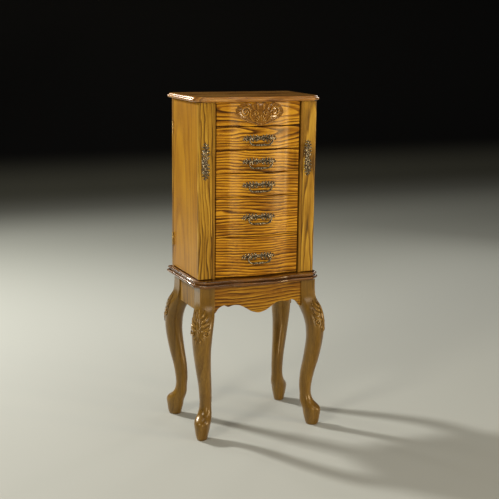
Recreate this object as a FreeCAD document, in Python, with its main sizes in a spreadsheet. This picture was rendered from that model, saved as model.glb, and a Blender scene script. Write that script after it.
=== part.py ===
import FreeCAD, Part
import os
import Sketcher

# A free-standing jewelry armoire: a drawer case with two swing-out side doors and a flip-top
# lid, on a stand with four cabriole legs. Millimetres, +Z up. The origin is on the floor, in
# the middle of the four feet. The front faces -Y.

doc = FreeCAD.newDocument("jewelry_armoire")
sheet = doc.addObject("Spreadsheet::Sheet", "Sizes")

SIZES = {
    # heights of the stand and the case
    "total_height": 1000, "lid_thickness": 15, "lid_gap": 1, "stand_top": 474,
    "moulding_height": 21, "moulding_step": 11, "apron_foot": 380,
    # plan of the case
    "case_half": 184, "case_front": 97, "case_back": 131, "board_depth": 12,
    "partition_outer": 142, "partition_depth": 8, "shelf_depth": 5, "floor_depth": 10,
    "strip_inner": 143, "door_bottom": 477, "door_top_gap": 1.5, "edge_round": 4,
    # drawer fronts: bowed in plan, flat beyond front_flat, inflected at front_bend
    "front_half": 129.5, "front_recess": 4, "front_bow": 13, "front_flat": 104,
    "front_bend": 82, "front_plane": 80, "front_gap": 1, "front_round": 1.5,
    # heights of the joints between the fronts, from the bottom drawer to the fascia
    "line_one": 477, "line_two": 595, "line_three": 713, "line_four": 781,
    "line_five": 848, "line_six": 915,
    # drawer boxes and their guides
    "box_half": 129.5, "box_back": 108, "box_wall": 8, "box_floor": 4, "box_lift": 0.5,
    "box_headroom": 5, "guide_width": 3.5, "guide_height": 8,
    # lid, stand moulding and aprons in plan
    "lid_half": 198.5, "lid_front": 110, "lid_bow": 7, "lid_clip": 28, "lid_round": 5,
    "mirror_half": 150, "mirror_front": 72, "mirror_back": 102, "mirror_depth": 2.5,
    "moulding_half": 199.5, "moulding_front": 123, "moulding_back": 136.5,
    "moulding_bow": 10, "moulding_clip": 27, "moulding_inset": 3, "bead_round": 4.4,
    "apron_depth": 14, "apron_front": 108, "apron_bow": 8, "apron_side": 181,
    "apron_lobe": 368, "apron_cusp": 391.5, "apron_arch": 396.5,
    # legs
    "post_x": 161.5, "post_y": 88, "post_half": 23, "post_foot": 372, "knee_y": 102,
    # corner blocks of the stand, and their screws
    "block_low": 405, "block_high": 445, "block_width": 18, "screw_height": 425,
    "screw_setback": 12, "screw_length": 34, "screw_radius": 2.5, "screw_head": 5,
    # carving on the fascia
    "carving_half": 76, "carving_depth": 5, "carving_lift": 1.5,
    # hardware
    "plate_half": 54, "plate_height": 16, "plate_depth": 2.5, "eye_inner": 27,
    "eye_outer": 32.5, "eye_reach": 12, "eye_height": 7, "pivot_reach": 9,
    "bail_half": 36, "bail_drop": 22, "bail_wire": 1.6, "bail_bend": 3, "bail_corner": 12,
    "pivot_clearance": 0.05, "pull_height": 818.5, "pull_left": 163, "pull_right": 158,
    "handle_1": 881.5, "handle_2": 815, "handle_3": 747, "handle_4": 653, "handle_5": 536,
    "lid_hinge_left": -130, "lid_hinge_right": 90, "door_hinge_low": 540,
    "door_hinge_high": 880, "pin_beyond_back": 2.8, "pin_beyond_side": 3,
    "hinge_length": 40, "knuckle_radius": 2.4, "hinge_pin": 1.2, "leaf_depth": 1,
    # inside fittings
    "tray_half": 132, "tray_front": 77, "tray_back": 117, "tray_wall": 4, "tray_top": 975,
    "rolls_edge": 30, "pouch_bottom": 487, "pouch_height": 60, "pouch_wall": 2.5,
    "hook_height": 936, "hook_pitch": 28, "hook_wire": 1.5, "hook_tip": 2, "hook_first": 55,
    "hook_reach": 20, "hook_arm": 14, "hook_rise": 9, "rail_depth": 8, "rail_half": 7,
    "rail_front": 68, "rail_back": 98, "pouch_front": 70, "pouch_back": 100, "pouch_gap": 7,
    "tray_middle": 50, "tray_side": 54, "tray_row_end": 20, "tray_row_start": 24,
    "rolls_drop": 16, "magnet_front": 84, "magnet_back": 72, "magnet_width": 9,
    "magnet_height": 22, "magnet_low": 500, "magnet_high": 945, "top_board_depth": 10,
}


class Size:
    """A length with its value and the sheet expression that gives it."""

    def __init__(self, value, text):
        self.value = float(value)
        self.text = text

    def __add__(self, other):
        other = as_size(other)
        return Size(self.value + other.value, "(%s + %s)" % (self.text, other.text))

    def __sub__(self, other):
        other = as_size(other)
        return Size(self.value - other.value, "(%s - %s)" % (self.text, other.text))

    def __mul__(self, other):
        other = as_size(other)
        return Size(self.value * other.value, "(%s * %s)" % (self.text, other.text))

    def __truediv__(self, other):
        other = as_size(other)
        return Size(self.value / other.value, "(%s / %s)" % (self.text, other.text))

    def __neg__(self):
        return Size(-self.value, "(0 - %s)" % self.text)

    def __radd__(self, other):
        return as_size(other) + self

    def __rsub__(self, other):
        return as_size(other) - self

    def __rmul__(self, other):
        return as_size(other) * self


def as_size(number):
    return number if isinstance(number, Size) else Size(number, "(%.6f)" % number)


class Sheet:
    """The driving dimensions, as attributes."""


S = Sheet()
for row, (alias, number) in enumerate(SIZES.items(), start=1):
    sheet.set("A%d" % row, alias)
    sheet.set("B%d" % row, str(number))
    sheet.setAlias("B%d" % row, alias)
    setattr(S, alias, Size(number, "Sizes." + alias))
doc.recompute()

FRONT = -S.case_front
BACK = S.case_back
CASE_TOP = S.total_height - S.lid_thickness - S.lid_gap
PARTITION_INNER = S.partition_outer - S.partition_depth
DOOR_INNER = S.case_half - S.board_depth
BACK_INNER = BACK - S.board_depth
SHELF_FRONT = -S.front_plane + 1
FRONT_EDGE = FRONT + S.front_recess
MOULDING_FOOT = S.stand_top - S.moulding_height
LINES = [S.line_one, S.line_two, S.line_three, S.line_four, S.line_five, S.line_six]
SIDES = {"left": -1, "right": 1}
# the bails of the door pulls rest swung this many degrees forward of their strips
PULL_REST = 35


# ---------------------------------------------------------------- building helpers

def bind(item, prop, size):
    """Bind one property of a document object to the sheet."""
    item.setExpression(prop, as_size(size).text)


def move(item, x=0, y=0, z=0, rotation=None):
    """Place an object at a bound point, turned by an optional rotation."""
    if rotation:
        item.Placement = FreeCAD.Placement(FreeCAD.Vector(), rotation)
    for axis, size in zip("xyz", (x, y, z)):
        bind(item, "Placement.Base." + axis, size)


def mirrored(pair, side):
    """An x range given for the right-hand side, on the side asked for."""
    low, high = as_size(pair[0]), as_size(pair[1])
    return (low, high) if side > 0 else (-high, -low)


def block(name, x, y, z):
    """A bound box between two corners."""
    box = doc.addObject("Part::Box", name)
    for prop, axis, (low, high) in zip(("Length", "Width", "Height"), "xyz", (x, y, z)):
        bind(box, prop, as_size(high) - as_size(low))
        bind(box, "Placement.Base." + axis, low)
    return box


def rod(name, start, direction, length, radius):
    """A bound cylinder from a start point along a direction."""
    cylinder = doc.addObject("Part::Cylinder", name)
    bind(cylinder, "Radius", radius)
    bind(cylinder, "Height", length)
    move(cylinder, *start, FreeCAD.Rotation(FreeCAD.Vector(0, 0, 1), FreeCAD.Vector(*direction)))
    return cylinder


def fuse(name, parts):
    joined = doc.addObject("Part::MultiFuse", name)
    joined.Shapes = parts
    return joined


def cut(name, base, tool):
    remainder = doc.addObject("Part::Cut", name)
    remainder.Base, remainder.Tool = base, tool
    return remainder


def group(name, parts):
    """Separate solids that share one node."""
    compound = doc.addObject("Part::Compound", name)
    compound.Links = parts
    return compound


def new_sketch(body, name, plane, offset):
    """A sketch on one of the body's own origin planes, moved along its normal."""
    sketch = body.newObject("Sketcher::SketchObject", name)
    support = [f for f in body.Origin.OriginFeatures if f.Role == plane][0]
    sketch.AttachmentSupport = [(support, "")]
    sketch.MapMode = "FlatFace"
    bind(sketch, "AttachmentOffset.Base.z", offset)
    return sketch


def fix_point(sketch, edge, end, point):
    """Bind one end of an edge to a point of the sheet."""
    for kind, size in zip(("DistanceX", "DistanceY"), point):
        index = sketch.addConstraint(Sketcher.Constraint(kind, -1, 1, edge, end, size.value))
        sketch.setExpression("Constraints[%d]" % index, size.text)


def draw(sketch, corners, arcs=None, closed=True):
    """Draw edges through bound corners. arcs gives an edge's radius, positive where it bows
    to the right of its direction."""
    arcs = arcs or {}
    corners = [(as_size(a), as_size(b)) for a, b in corners]
    edges = len(corners) if closed else len(corners) - 1
    for i in range(edges):
        (ax, ay), (bx, by) = corners[i], corners[(i + 1) % len(corners)]
        start = FreeCAD.Vector(ax.value, ay.value, 0)
        end = FreeCAD.Vector(bx.value, by.value, 0)
        if i in arcs:
            radius = abs(arcs[i].value)
            chord = end - start
            rise = radius - max(radius ** 2 - chord.Length ** 2 / 4, 0.0) ** 0.5
            normal = FreeCAD.Vector(chord.y, -chord.x, 0).normalize()
            middle = (start + end) / 2 + normal * rise * (1 if arcs[i].value > 0 else -1)
            sketch.addGeometry(Part.Arc(start, middle, end), False)
        else:
            sketch.addGeometry(Part.LineSegment(start, end), False)
    # An arc is stored anticlockwise, so one that bows to the left starts at its far end.
    heads = [2 if i in arcs and arcs[i].value < 0 else 1 for i in range(edges)]
    for i, head in enumerate(heads):
        fix_point(sketch, i, head, corners[i])
        if i in arcs:
            index = sketch.addConstraint(Sketcher.Constraint("Radius", i, abs(arcs[i].value)))
            radius = arcs[i] if arcs[i].value > 0 else -arcs[i]
            sketch.setExpression("Constraints[%d]" % index, radius.text)
        if closed or i < edges - 1:
            following = (i + 1) % edges
            sketch.addConstraint(
                Sketcher.Constraint("Coincident", i, 3 - head, following, heads[following]))
    if not closed:
        fix_point(sketch, edges - 1, 3 - heads[-1], corners[-1])
    return sketch


def prism(name, plane, corners, low, high, arcs=None):
    """A padded body between two distances along the plane's normal."""
    body = doc.addObject("PartDesign::Body", name)
    sketch = draw(new_sketch(body, name + "_outline", plane, low), corners, arcs)
    pad = body.newObject("PartDesign::Pad", name + "_pad")
    pad.Profile = sketch
    bind(pad, "Length", as_size(high) - as_size(low))
    doc.recompute()
    return body


def round_edges(body, radius, test):
    """Fillet the edges of the body whose bounding boxes pass a test."""
    base = body.Tip
    names = ["Edge%d" % i for i, edge in enumerate(base.Shape.Edges, start=1)
             if test(edge.BoundBox)]
    fillet = body.newObject("PartDesign::Fillet", body.Name + "_round")
    fillet.Base = (base, names)
    bind(fillet, "Radius", radius)
    doc.recompute()
    return body


def bowed_outline(half, back, front, bow, clip=None):
    """A board's plan with a bowed front: corners, and the radii of its curved edges.

    The front is flat beyond front_flat, then an arc that hollows and an arc that bows out by
    bow over the middle, all tangent. A clip cuts the two front corners off."""
    slope = bow / S.front_flat
    sine = 2 * slope / (1 + slope * slope)
    hollow = (S.front_flat - S.front_bend) / sine
    crown = S.front_bend / sine
    bend = front - bow * (S.front_flat - S.front_bend) / S.front_flat
    middle = [(-S.front_flat, front), (-S.front_bend, bend), (S.front_bend, bend),
              (S.front_flat, front)]
    if clip is None:
        corners = [(half, back), (-half, back), (-half, front)] + middle + [(half, front)]
    else:
        corners = [(half, back), (-half, back), (-half, front + clip), (clip - half, front)]
        corners += middle + [(half - clip, front), (half, front + clip)]
    first = corners.index(middle[0])
    return corners, {first: -hollow, first + 1: crown, first + 2: -hollow}


# ---------------------------------------------------------------- stand

def build_moulding():
    """The top of the stand: two rounded beads, the upper one stepped in."""
    beads = []
    for name, inset, low, high in (
            ("lower_bead", 0, MOULDING_FOOT, MOULDING_FOOT + S.moulding_step),
            ("upper_bead", S.moulding_inset, MOULDING_FOOT + S.moulding_step, S.stand_top)):
        corners, arcs = bowed_outline(S.moulding_half - inset, S.moulding_back - inset,
                                      -S.moulding_front + inset, S.moulding_bow,
                                      S.moulding_clip)
        bead = prism(name, "XY_Plane", corners, low, high, arcs)
        beads.append(round_edges(bead, S.bead_round, lambda box: box.ZLength < 1))
    fuse("base_moulding", beads)


def build_aprons():
    """Four boards between the legs; the front one is bowed and scalloped."""
    half = S.post_x - S.post_half
    corners, arcs = bowed_outline(half, S.apron_depth - S.apron_front, -S.apron_front, S.apron_bow)
    apron = prism("front_apron", "XY_Plane", corners, S.apron_lobe, MOULDING_FOOT, arcs)
    lower = [(0, 0), (26, 7), (44, 18), (60, 26), (78, 27.5), (95, 23.5), (108, 28.5), (124, 22),
             (136, 6)]
    edge = [(-x, S.apron_lobe + rise) for x, rise in reversed(lower[1:])]
    edge += [(x, S.apron_lobe + rise) for x, rise in lower]
    below = S.apron_lobe - 5
    edge = [(-half - 1, below), (-half - 1, S.apron_lobe)] + edge
    edge += [(half + 1, S.apron_lobe), (half + 1, below)]
    sketch = draw(new_sketch(apron, "front_apron_scallop", "XZ_Plane", 0), edge)
    pocket = apron.newObject("PartDesign::Pocket", "front_apron_pocket")
    pocket.Profile = sketch
    pocket.Reversed = True
    bind(pocket, "Length", S.case_front + S.apron_front)
    reach = S.post_y - S.post_half
    for side_name, side in SIDES.items():
        block("side_apron_" + side_name,
              mirrored((S.apron_side - S.apron_depth, S.apron_side), side),
              (-reach, reach), (S.apron_foot, MOULDING_FOOT))
    block("back_apron", (-half, half), (S.apron_front - S.apron_depth, S.apron_front),
          (S.apron_foot, MOULDING_FOOT))


# Each section of a leg below its post: height, how far its middle stands outside the knee
# point in x and in y, half its size along and across the outward diagonal, and its
# squareness (2 is an ellipse).
LEG_SECTIONS = [
    (382, 0, -14, 22, 22, 2), (366, 5, -3, 28, 28, 1.8), (345, 15, 13, 30, 32, 1.8),
    (305, 20.5, 20.5, 27.5, 30, 1.9), (270, 20, 20, 25.6, 26.5, 2), (210, 13, 13, 24, 22, 2),
    (162, 5.3, 5.3, 21.5, 19.3, 2), (121, 1.8, 1.8, 18.8, 18.2, 2), (94, 2.5, 2.5, 17.6, 18.2, 2),
    (73, 6, 6, 21.5, 21, 2), (58, 13.8, 13.8, 28, 24, 2), (48, 17, 17, 28.5, 24, 2),
    (28, 17.7, 17.7, 25.5, 21, 2), (10, 18.4, 18.4, 21.5, 17, 2), (0, 18.4, 18.4, 17, 13.5, 2),
]


def leg_section(row, side, end):
    """One closed outline, in the leg's quarter of the plan."""
    height, out_x, out_y, along, across, squareness = row
    points = []
    for step in range(24):
        turn = FreeCAD.Rotation(FreeCAD.Vector(0, 0, 1), step * 15).multVec(FreeCAD.Vector(1, 0, 0))
        reach = (abs(turn.x) ** squareness + abs(turn.y) ** squareness) ** (-1 / squareness)
        diagonal, sideways = along * turn.x * reach, across * turn.y * reach
        x = S.post_x.value + out_x + (diagonal - sideways) / 2 ** 0.5
        y = S.knee_y.value + out_y + (diagonal + sideways) / 2 ** 0.5
        points.append(FreeCAD.Vector(side * x, end * y, height))
    outline = Part.BSplineCurve()
    outline.interpolate(points, PeriodicFlag=True)
    return Part.Wire(outline.toShape())


def build_leg(name, side, end):
    """A cabriole leg: a square post, a knee, an ankle and a club foot."""
    curve = doc.addObject("Part::Feature", name + "_curve")
    curve.Shape = Part.makeLoft([leg_section(row, side, end) for row in LEG_SECTIONS], True)
    rows = (S.post_y - S.post_half, S.post_y + S.post_half)
    post = block(name + "_post",
                 mirrored((S.post_x - S.post_half, S.post_x + S.post_half), side),
                 rows if end > 0 else (-rows[1], -rows[0]), (S.post_foot, MOULDING_FOOT))
    fuse(name, [curve, post])


def build_braces():
    """Corner blocks across the angles of the aprons, and the screws through them."""
    inner_x = S.apron_side - S.apron_depth
    inner_y = S.apron_front - S.apron_depth
    near_x, near_y = S.post_x - S.post_half, S.post_y - S.post_half
    start_x, start_y = near_x - (inner_y - near_y), near_y - (inner_x - near_x)
    blocks, screws = [], []
    for name, side, end in (("front_left", -1, -1), ("front_right", 1, -1),
                            ("back_left", -1, 1), ("back_right", 1, 1)):
        corners = [(side * start_x, end * inner_y), (side * inner_x, end * start_y),
                   (side * inner_x, end * (start_y - S.block_width)),
                   (side * (start_x - S.block_width), end * inner_y)]
        blocks.append(prism("block_" + name, "XY_Plane", corners,
                            S.block_low, S.block_high))
        start = (side * (near_x - S.screw_setback), end * (near_y - S.screw_setback),
                 S.screw_height)
        shank = rod("shank_" + name, start, (side, end, 0), S.screw_length, S.screw_radius)
        head = rod("head_" + name, start, (side, end, 0), S.screw_radius, S.screw_head)
        screws.append(fuse("screw_" + name, [shank, head]))
    group("corner_blocks", blocks)
    group("stand_screws", screws)


# ---------------------------------------------------------------- case

def build_case():
    block("back_panel", (-S.case_half, S.case_half), (BACK_INNER, BACK), (S.stand_top, CASE_TOP))
    guides = mirrored((PARTITION_INNER - S.guide_width, PARTITION_INNER), 1)
    floor_top = S.stand_top + S.floor_depth
    floor = [block("floor_board", (1 - DOOR_INNER, DOOR_INNER - 1), (SHELF_FRONT, BACK_INNER),
                   (S.stand_top, floor_top))]
    for side in (-1, 1):
        floor.append(block("floor_guide", mirrored(guides, side), (SHELF_FRONT, BACK_INNER),
                           (floor_top, floor_top + S.guide_height)))
    fuse("case_floor", floor)
    shelves = []
    for line in LINES[1:]:
        top = line + S.shelf_depth / 2
        pieces = [block("shelf_board", (-PARTITION_INNER, PARTITION_INNER),
                        (SHELF_FRONT, BACK_INNER), (line - S.shelf_depth / 2, top))]
        if line is not S.line_six:
            for side in (-1, 1):
                pieces.append(block("shelf_guide", mirrored(guides, side),
                                    (SHELF_FRONT, BACK_INNER), (top, top + S.guide_height)))
        shelves.append(fuse("shelf", pieces) if len(pieces) > 1 else pieces[0])
    group("drawer_shelves", shelves)
    for side_name, side in SIDES.items():
        corners = [(FRONT, S.stand_top + 1), (SHELF_FRONT - 0.5, S.stand_top + 1),
                   (SHELF_FRONT - 0.5, floor_top), (BACK_INNER, floor_top),
                   (BACK_INNER, CASE_TOP), (FRONT, CASE_TOP)]
        low, high = mirrored((PARTITION_INNER, S.partition_outer), side)
        prism("partition_" + side_name, "YZ_Plane", corners, low, high)
    group("side_top_boards", [
        block("top_board_" + name, mirrored((S.partition_outer, DOOR_INNER - 1), side),
              (SHELF_FRONT - 5, BACK_INNER), (CASE_TOP - S.top_board_depth, CASE_TOP))
        for name, side in SIDES.items()])
    magnets = []
    for side in (-1, 1):
        for low in (S.magnet_low, S.magnet_high):
            reach = mirrored((S.partition_outer, S.partition_outer + S.magnet_width), side)
            magnets.append(block("magnet", reach, (-S.magnet_front, -S.magnet_back),
                                 (low, low + S.magnet_height)))
    group("door_magnets", magnets)


def build_fascia():
    corners, arcs = bowed_outline(S.front_half, -S.front_plane, FRONT_EDGE, S.front_bow)
    fascia = prism("fascia_panel", "XY_Plane", corners, S.line_six + S.front_gap, CASE_TOP, arcs)
    round_edges(fascia, S.front_round,
                lambda box: box.ZLength < 1 and box.YMax < -S.front_plane.value - 5)
    # the carving follows the fascia's crown and has a pointed lower edge
    slope = S.front_bow / S.front_flat
    crown = S.front_bend * (1 + slope * slope) / (2 * slope)
    half, foot = S.carving_half, S.line_six + S.carving_lift
    bend = FRONT_EDGE - S.front_bow
    back = bend + crown.value - (crown.value ** 2 - half.value ** 2) ** 0.5
    front = back - S.carving_depth
    carving = prism("fascia_carving", "XY_Plane",
                    [(half, back), (-half, back), (-half, front), (half, front)],
                    foot, CASE_TOP - 2, {0: -crown, 2: crown})
    outline = [(-77, -5), (-77, 34), (-70, 24), (-45, 13), (0, 0), (45, 13), (70, 24), (77, 34),
               (77, -5)]
    sketch = draw(new_sketch(carving, "carving_lower_edge", "XZ_Plane", 0),
                  [(x, foot + z) for x, z in outline])
    pocket = carving.newObject("PartDesign::Pocket", "carving_pocket")
    pocket.Profile = sketch
    pocket.Reversed = True
    bind(pocket, "Length", S.case_front + 30)
    doc.recompute()


def build_tray():
    """The fitted tray under the lid, and its padded ring rolls."""
    floor = S.line_six + S.shelf_depth / 2
    half, wall = S.tray_half, S.tray_wall
    shell = block("tray_shell", (-half, half), (-S.tray_front, S.tray_back), (floor, S.tray_top))
    wells = []
    for name, x, y in (
            ("rolls", (wall - half, -S.rolls_edge - wall), (wall - S.tray_front, S.tray_back - wall)),
            ("front", (-S.rolls_edge, S.tray_middle), (wall - S.tray_front, S.tray_row_end)),
            ("back", (-S.rolls_edge, S.tray_middle), (S.tray_row_start, S.tray_back - wall)),
            ("side", (S.tray_side, half - wall), (wall - S.tray_front, S.tray_back - wall))):
        wells.append(block("well_" + name, x, y, (floor + wall, S.tray_top + 1)))
    cut("top_tray", shell, fuse("tray_wells", wells))
    gap = 0.6
    block("ring_rolls", (wall - half + gap, -S.rolls_edge - wall - gap),
          (wall - S.tray_front + gap, S.tray_back - wall - gap),
          (floor + wall + 0.3, S.tray_top - S.rolls_drop))


# ---------------------------------------------------------------- hardware

def build_handle(plate_name, bail_name, place, turn, bail_turn, curved):
    """A back plate with two eyes and the drop bail that swings in them.

    Drawn about its own centre with the plate's back on y = 0, then placed and turned."""
    z_half = S.plate_height / 2
    if curved:
        slope = S.front_bow / S.front_flat
        crown = S.front_bend * (1 + slope * slope) / (2 * slope)
        rise = crown.value - (crown.value ** 2 - S.plate_half.value ** 2) ** 0.5
        corners = [(S.plate_half, rise), (-S.plate_half, rise),
                   (-S.plate_half, rise - S.plate_depth), (S.plate_half, rise - S.plate_depth)]
        strip = prism(plate_name + "_strip", "XY_Plane", corners, -z_half, z_half,
                      {0: -crown, 2: crown})
    else:
        strip = block(plate_name + "_strip", (-S.plate_half, S.plate_half),
                      (-S.plate_depth, 0), (-z_half, z_half))
    eyes = [block(plate_name + "_eye", mirrored((S.eye_inner, S.eye_outer), side),
                  (-S.eye_reach, -1), (-S.eye_height / 2, S.eye_height / 2)) for side in (-1, 1)]
    bore = rod(plate_name + "_bore", (-S.eye_outer - 1, -S.pivot_reach, 0), (1, 0, 0),
               2 * S.eye_outer + 2, S.bail_wire + S.pivot_clearance)
    plate = cut(plate_name, fuse(plate_name + "_blank", [strip] + eyes), bore)
    move(plate, *place, rotation=turn)

    body = doc.addObject("PartDesign::Body", bail_name)
    bend, corner, half, drop = S.bail_bend, S.bail_corner, S.bail_half, S.bail_drop
    route = [(-S.eye_inner, 0), (bend - half, 0), (-half, -bend), (-half, corner - drop),
             (corner - half, -drop), (half - corner, -drop), (half, corner - drop),
             (half, -bend), (half - bend, 0), (S.eye_inner, 0)]
    path = draw(new_sketch(body, bail_name + "_path", "XZ_Plane", 0), route,
                {1: bend, 3: corner, 5: corner, 7: bend}, closed=False)
    section = new_sketch(body, bail_name + "_section", "YZ_Plane", -S.eye_inner)
    section.addGeometry(Part.Circle(FreeCAD.Vector(), FreeCAD.Vector(0, 0, 1), S.bail_wire.value))
    section.addConstraint(Sketcher.Constraint("Coincident", 0, 3, -1, 1))
    index = section.addConstraint(Sketcher.Constraint("Radius", 0, S.bail_wire.value))
    section.setExpression("Constraints[%d]" % index, S.bail_wire.text)
    pipe = body.newObject("PartDesign::AdditivePipe", bail_name + "_pipe")
    pipe.Profile = section
    pipe.Spine = path
    doc.recompute()
    x, y, z = place
    move(body, x, y - S.pivot_reach, z, turn.multiply(bail_turn))


def hinge(place, turn, fixed_leaf, moving_leaf, stop, opened):
    """A butt hinge with its pin along z: the half with the pin, and the half that moves.

    The leaves lie along -x between two distances from the pin's plane, and stop short of the
    pin's axis. The moving leaf of an opened hinge lies along +x instead."""
    length, radius = S.hinge_length.value, S.knuckle_radius.value
    pin = S.hinge_pin.value
    third, gap, width = length / 3, 0.3, 14.0
    relief = radius + gap

    def cylinder(size, low, high):
        return Part.makeCylinder(size, high - low, FreeCAD.Vector(0, 0, low))

    def plate(leaf, start):
        return Part.makeBox(width, leaf[1] - leaf[0], length, FreeCAD.Vector(start, leaf[0], 0))

    fixed = plate(fixed_leaf, -width - stop).cut(
        cylinder(relief, third, 2 * third).cut(cylinder(pin, 0, length)))
    outer = cylinder(radius, 0, third).fuse(cylinder(radius, 2 * third, length))
    fixed = fixed.fuse([outer, cylinder(pin, 0, length)]).removeSplitter()
    moving = plate(moving_leaf, stop if opened else -width - stop)
    moving = moving.cut([cylinder(relief, 0, third + gap),
                         cylinder(relief, 2 * third - gap, length)])
    moving = moving.fuse(cylinder(radius, third + gap, 2 * third - gap))
    moving = moving.cut(cylinder(pin + S.pivot_clearance.value, 0, length)).removeSplitter()
    for half in (fixed, moving):
        half.Placement = FreeCAD.Placement(
            FreeCAD.Vector(*[as_size(c).value for c in place]), turn)
    return fixed, moving


def solids_node(name, shapes):
    """Solids made with Part's own functions, kept as one node."""
    node = doc.addObject("Part::Feature", name)
    node.Shape = Part.makeCompound(shapes)


def build_hinges():
    fixed, lid_halves = [], []
    across = FreeCAD.Rotation(FreeCAD.Vector(0, 0, 1), FreeCAD.Vector(0, -1, 0),
                              FreeCAD.Vector(1, 0, 0), "XYZ")
    for x in (S.lid_hinge_left, S.lid_hinge_right):
        still, moving = hinge((x, BACK + S.pin_beyond_back, CASE_TOP + 0.5), across, (1.4, 2.8), (1.4, 3.2),
                              0, True)
        fixed.append(still)
        lid_halves.append(moving)
    solids_node("lid_hinge_leaves", lid_halves)
    for name, side in SIDES.items():
        halves = []
        for low in (S.door_hinge_low, S.door_hinge_high):
            turn = FreeCAD.Rotation(FreeCAD.Vector(0, 1, 0), 0 if side > 0 else 180)
            start = low if side > 0 else low + S.hinge_length
            still, moving = hinge((side * (S.case_half + S.pin_beyond_side), BACK_INNER - 1.2,
                                   start), turn, (0.2, 1.2), (-1.2, -0.2), 1.6, False)
            fixed.append(still)
            halves.append(moving)
        solids_node("door_hinge_leaves_" + name, halves)
    solids_node("hinge_leaves", fixed)


# ---------------------------------------------------------------- doors, drawers and lid

def build_door(name, side):
    """A side door: a side panel, the front strip that carries the pull, and fittings."""
    bottom, top = S.door_bottom, CASE_TOP - S.door_top_gap + 1
    strip_back = FRONT + S.board_depth
    rear = BACK_INNER - 2.4
    block("door_panel_" + name, mirrored((DOOR_INNER, S.case_half), side), (strip_back, rear),
          (bottom, top))
    low, high = mirrored((S.strip_inner, S.case_half), side)
    strip = prism("door_strip_" + name, "XY_Plane",
                  [(low, FRONT), (high, FRONT), (high, strip_back), (low, strip_back)],
                  bottom, top)
    outer = side * S.case_half.value
    round_edges(strip, S.edge_round, lambda box: box.ZLength > 100 and
                abs(box.XMin - outer) < 0.1 and abs(box.YMin - FRONT.value) < 0.1)

    pouch_top = S.pouch_bottom + S.pouch_height
    wall = S.pouch_wall
    near, ends = S.partition_outer + S.pouch_gap, (-S.pouch_front, S.pouch_back)
    shell = block("pouch_shell", mirrored((near, DOOR_INNER), side), ends,
                  (S.pouch_bottom, pouch_top))
    well = block("pouch_well", mirrored((near + wall, DOOR_INNER - wall), side),
                 (wall - S.pouch_front, S.pouch_back - wall),
                 (S.pouch_bottom + wall, pouch_top + 1))
    cut("necklace_pouch_" + name, shell, well)

    pieces = [block("hook_rail", mirrored((DOOR_INNER - S.rail_depth, DOOR_INNER), side),
                    (-S.rail_front, S.rail_back),
                    (S.hook_height - S.rail_half, S.hook_height + S.rail_half))]
    for step in range(6):
        y = step * S.hook_pitch - S.hook_first
        tip = DOOR_INNER - S.hook_reach
        pieces.append(rod("hook_arm", (side * (DOOR_INNER - 6), y, S.hook_height),
                          (-side, 0, 0), S.hook_arm, S.hook_wire))
        pieces.append(rod("hook_tip", (side * tip, y, S.hook_height - S.hook_tip), (0, 0, 1),
                          S.hook_rise, S.hook_tip))
    fuse("necklace_hooks_" + name, pieces)

    place = (-S.pull_left if side < 0 else S.pull_right, FRONT, S.pull_height)
    upright = FreeCAD.Rotation(FreeCAD.Vector(0, 1, 0), 90)
    build_handle("door_pull_plate_" + name, "door_pull_bail_" + name, place, upright,
                 FreeCAD.Rotation(FreeCAD.Vector(1, 0, 0), -PULL_REST), curved=False)


def build_drawer(number, low, high, handle_height):
    """A drawer: a bowed front, an open box and a drop handle."""
    corners, arcs = bowed_outline(S.front_half, -S.front_plane, FRONT_EDGE, S.front_bow)
    front = prism("drawer_front_%d" % number, "XY_Plane", corners, low + S.front_gap,
                  high - S.front_gap, arcs)
    round_edges(front, S.front_round,
                lambda box: box.ZLength < 1 and box.YMax < -S.front_plane.value - 5)
    top = low + S.shelf_depth / 2
    if low is S.line_one:
        top = S.stand_top + S.floor_depth
    floor = top + S.box_lift
    rim = high - S.shelf_depth / 2 - S.box_headroom
    wall = S.box_wall
    shell = block("box_shell", (-S.box_half, S.box_half), (-S.front_plane, S.box_back),
                  (floor, rim))
    well = block("box_well", (wall - S.box_half, S.box_half - wall),
                 (wall - S.front_plane, S.box_back - wall), (floor + S.box_floor, rim + 1))
    cut("drawer_box_%d" % number, shell, well)
    build_handle("drawer_plate_%d" % number, "drawer_bail_%d" % number,
                 (0, FRONT_EDGE - S.front_bow, handle_height), FreeCAD.Rotation(),
                 FreeCAD.Rotation(), curved=True)


def build_lid():
    """The flip-top lid, rounded at its top edge, with a mirror let into its underside."""
    low = S.total_height - S.lid_thickness
    corners, arcs = bowed_outline(S.lid_half, BACK - 0.4, -S.lid_front, S.lid_bow, S.lid_clip)
    lid = prism("lid_panel", "XY_Plane", corners, low, S.total_height, arcs)
    sketch = draw(new_sketch(lid, "mirror_recess", "XY_Plane", low),
                  [(-S.mirror_half, -S.mirror_front), (S.mirror_half, -S.mirror_front),
                   (S.mirror_half, S.mirror_back), (-S.mirror_half, S.mirror_back)])
    pocket = lid.newObject("PartDesign::Pocket", "mirror_pocket")
    pocket.Profile = sketch
    pocket.Reversed = True
    bind(pocket, "Length", S.mirror_depth + 0.5)
    doc.recompute()
    top, back = S.total_height.value, BACK.value - 1
    round_edges(lid, S.lid_round, lambda box: box.ZMin > top - 0.1 and box.YMin < back)
    block("lid_mirror", (0.5 - S.mirror_half, S.mirror_half - 0.5),
          (0.5 - S.mirror_front, S.mirror_back - 0.5), (low + 0.5, low + S.mirror_depth + 0.5))


# ---------------------------------------------------------------- build, check and write

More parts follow.
